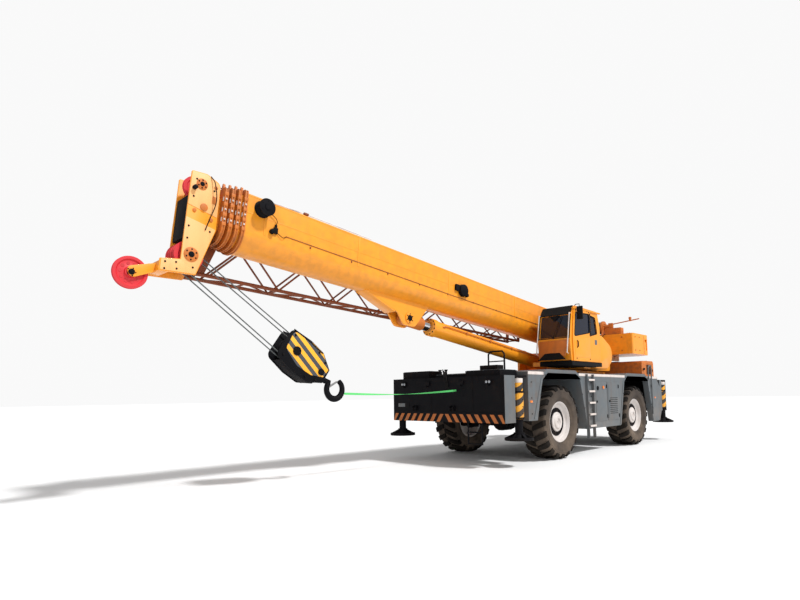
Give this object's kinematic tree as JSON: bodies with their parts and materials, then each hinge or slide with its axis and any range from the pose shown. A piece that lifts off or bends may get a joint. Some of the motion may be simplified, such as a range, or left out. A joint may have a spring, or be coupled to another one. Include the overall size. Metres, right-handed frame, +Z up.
{
  "type": "rough terrain crane",
  "caption": "Rough terrain mobile crane on four big lugged tyres, with a telescopic boom, side-stowed lattice jib, offset cab, outriggers and a reeved hook block.",
  "frame": {"origin": "centre of the bounding box at ground level, with the boom lowered over the front and the hook hung", "axes": "+X towards the boom's head and the front bumper, +Y to the crane's left, +Z up"},
  "size_m": [17.3931, 4.06, 5.2778],
  "materials": {
    "cab_glass": "clear, tinted",
    "chassis_grey": "satin, weathered",
    "crane_yellow": "satin, weathered",
    "frame_black": "satin",
    "rim_white": "satin, dusty",
    "rod_chrome": "polished",
    "rope_steel": "greased",
    "seat_black": "matte",
    "sheave_red": "satin",
    "tyre_rubber": "matte, dusty"
  },
  "bodies": {
    "chassis": {"chassis_frame": "frame_black", "slewing_ring": "frame_black", "side_deck_left": "chassis_grey", "side_deck_right": "chassis_grey", "front_outrigger_box": "frame_black", "rear_outrigger_box": "frame_black", "engine_hood": "crane_yellow", "axle_front": "frame_black", "axle_rear": "frame_black"},
    "knuckle_front_left": {"knuckle_front_left": "frame_black"},
    "wheel_front_left": {"rim_front_left": "rim_white", "tyre_front_left": "tyre_rubber"},
    "beam_front_left": {"outrigger_beam_front_left": "crane_yellow"},
    "jack_front_left": {"jack_leg_front_left": "frame_black"},
    "knuckle_front_right": {"knuckle_front_right": "frame_black"},
    "wheel_front_right": {"rim_front_right": "rim_white", "tyre_front_right": "tyre_rubber"},
    "beam_front_right": {"outrigger_beam_front_right": "crane_yellow"},
    "jack_front_right": {"jack_leg_front_right": "frame_black"},
    "knuckle_rear_left": {"knuckle_rear_left": "frame_black"},
    "wheel_rear_left": {"rim_rear_left": "rim_white", "tyre_rear_left": "tyre_rubber"},
    "beam_rear_left": {"outrigger_beam_rear_left": "crane_yellow"},
    "jack_rear_left": {"jack_leg_rear_left": "frame_black"},
    "knuckle_rear_right": {"knuckle_rear_right": "frame_black"},
    "wheel_rear_right": {"rim_rear_right": "rim_white", "tyre_rear_right": "tyre_rubber"},
    "beam_rear_right": {"outrigger_beam_rear_right": "crane_yellow"},
    "jack_rear_right": {"jack_leg_rear_right": "frame_black"},
    "turret": {"turret_frame": "crane_yellow", "counterweight": "crane_yellow", "winch_main": "crane_yellow", "cab_shell": "crane_yellow", "windshield": "cab_glass", "window_right": "cab_glass", "window_quarter": "cab_glass", "window_rear": "cab_glass", "operator_seat": "seat_black", "console": "seat_black"},
    "door": {"cab_door": "crane_yellow", "door_glass": "cab_glass"},
    "boom": {"boom_base": "crane_yellow", "jib_lattice": "crane_yellow"},
    "section_2": {"boom_section_2": "crane_yellow"},
    "section_3": {"boom_section_3": "crane_yellow"},
    "section_4": {"boom_section_4": "crane_yellow"},
    "tip": {"boom_section_5": "crane_yellow", "boom_head": "crane_yellow", "head_sheaves": "sheave_red", "top_sheave": "sheave_red", "nose_sheave": "sheave_red"},
    "lift_barrel": {"lift_barrel": "crane_yellow"},
    "lift_rod": {"lift_rod": "rod_chrome"},
    "hook": {"hoist_rope": "rope_steel", "hook_block": "crane_yellow", "hook": "frame_black"}
  },
  "joints": [
    {"name": "steer_front_left", "type": "hinge", "parent": "chassis", "child": "knuckle_front_left", "pos_m": [-1.1166, 1, 0.93], "axis": [0, 0, 1], "range_deg": [-22, 22]},
    {"name": "roll_front_left", "type": "hinge", "parent": "knuckle_front_left", "child": "wheel_front_left", "pos_m": [-1.1166, 1.431, 0.93], "axis": [0, 1, 0], "continuous": true},
    {"name": "beam_slide_front_left", "type": "slide", "parent": "chassis", "child": "beam_front_left", "axis": [0, 1, 0], "range_m": [0, 1.95]},
    {"name": "jack_slide_front_left", "type": "slide", "parent": "beam_front_left", "child": "jack_front_left", "axis": [0, 0, -1], "range_m": [0, 0.65]},
    {"name": "steer_front_right", "type": "hinge", "parent": "chassis", "child": "knuckle_front_right", "pos_m": [-1.1166, -1, 0.93], "axis": [0, 0, 1], "range_deg": [-22, 22]},
    {"name": "roll_front_right", "type": "hinge", "parent": "knuckle_front_right", "child": "wheel_front_right", "pos_m": [-1.1166, -1.431, 0.93], "axis": [0, 1, 0], "continuous": true},
    {"name": "beam_slide_front_right", "type": "slide", "parent": "chassis", "child": "beam_front_right", "axis": [0, -1, 0], "range_m": [0, 1.95]},
    {"name": "jack_slide_front_right", "type": "slide", "parent": "beam_front_right", "child": "jack_front_right", "axis": [0, 0, -1], "range_m": [0, 0.65]},
    {"name": "steer_rear_left", "type": "hinge", "parent": "chassis", "child": "knuckle_rear_left", "pos_m": [-5.8806, 1, 0.93], "axis": [0, 0, 1], "range_deg": [-22, 22]},
    {"name": "roll_rear_left", "type": "hinge", "parent": "knuckle_rear_left", "child": "wheel_rear_left", "pos_m": [-5.8806, 1.431, 0.93], "axis": [0, 1, 0], "continuous": true},
    {"name": "beam_slide_rear_left", "type": "slide", "parent": "chassis", "child": "beam_rear_left", "axis": [0, 1, 0], "range_m": [0, 1.95]},
    {"name": "jack_slide_rear_left", "type": "slide", "parent": "beam_rear_left", "child": "jack_rear_left", "axis": [0, 0, -1], "range_m": [0, 0.65]},
    {"name": "steer_rear_right", "type": "hinge", "parent": "chassis", "child": "knuckle_rear_right", "pos_m": [-5.8806, -1, 0.93], "axis": [0, 0, 1], "range_deg": [-22, 22]},
    {"name": "roll_rear_right", "type": "hinge", "parent": "knuckle_rear_right", "child": "wheel_rear_right", "pos_m": [-5.8806, -1.431, 0.93], "axis": [0, 1, 0], "continuous": true},
    {"name": "beam_slide_rear_right", "type": "slide", "parent": "chassis", "child": "beam_rear_right", "axis": [0, -1, 0], "range_m": [0, 1.95]},
    {"name": "jack_slide_rear_right", "type": "slide", "parent": "beam_rear_right", "child": "jack_rear_right", "axis": [0, 0, -1], "range_m": [0, 0.65]},
    {"name": "slew", "type": "hinge", "parent": "chassis", "child": "turret", "pos_m": [-3.6166, 0, 2.27], "axis": [0, 0, 1], "continuous": true},
    {"name": "cab_door_slide", "type": "slide", "parent": "turret", "child": "door", "axis": [-1, 0, 0], "range_m": [0, 0.65]},
    {"name": "luff", "type": "hinge", "parent": "turret", "child": "boom", "pos_m": [-5.8166, 0, 3.4], "axis": [0, -1, 0], "range_deg": [-5.3, 72.7]},
    {"name": "telescope_2", "type": "slide", "parent": "boom", "child": "section_2", "axis": [0.9957, 0, 0.0924], "range_m": [0, 8.7]},
    {"name": "telescope_3", "type": "slide", "parent": "section_2", "child": "section_3", "axis": [0.9957, 0, 0.0924], "range_m": [0, 8.7]},
    {"name": "telescope_4", "type": "slide", "parent": "section_3", "child": "section_4", "axis": [0.9957, 0, 0.0924], "range_m": [0, 8.7]},
    {"name": "telescope_5", "type": "slide", "parent": "section_4", "child": "tip", "axis": [0.9957, 0, 0.0924], "range_m": [0, 8.7]},
    {"name": "lift_pivot", "type": "hinge", "parent": "turret", "child": "lift_barrel", "pos_m": [-3.1666, 0, 2.57], "axis": [0, -1, 0], "range_deg": [-6.05, 82.8]},
    {"name": "lift_stroke", "type": "slide", "parent": "lift_barrel", "child": "lift_rod", "axis": [0.9907, 0, 0.136], "range_m": [-0.222, 3.034]},
    {"name": "hook_swing", "type": "hinge", "parent": "tip", "child": "hook", "pos_m": [7.6651, 0, 3.8974], "axis": [0, -1, 0], "range_deg": [-20, 57]}
  ],
  "couplings": [
    {"joint": "steer_front_right", "follows": "steer_front_left", "ratio": 1},
    {"joint": "steer_rear_right", "follows": "steer_rear_left", "ratio": 1},
    {"joint": "telescope_3", "follows": "telescope_2", "ratio": 1},
    {"joint": "telescope_4", "follows": "telescope_2", "ratio": 1},
    {"joint": "telescope_5", "follows": "telescope_2", "ratio": 1},
    {"joint": "lift_pivot", "follows": "luff", "ratio": 1.1384},
    {"joint": "lift_stroke", "follows": "luff", "m_per_rad": 2.39}
  ]
}
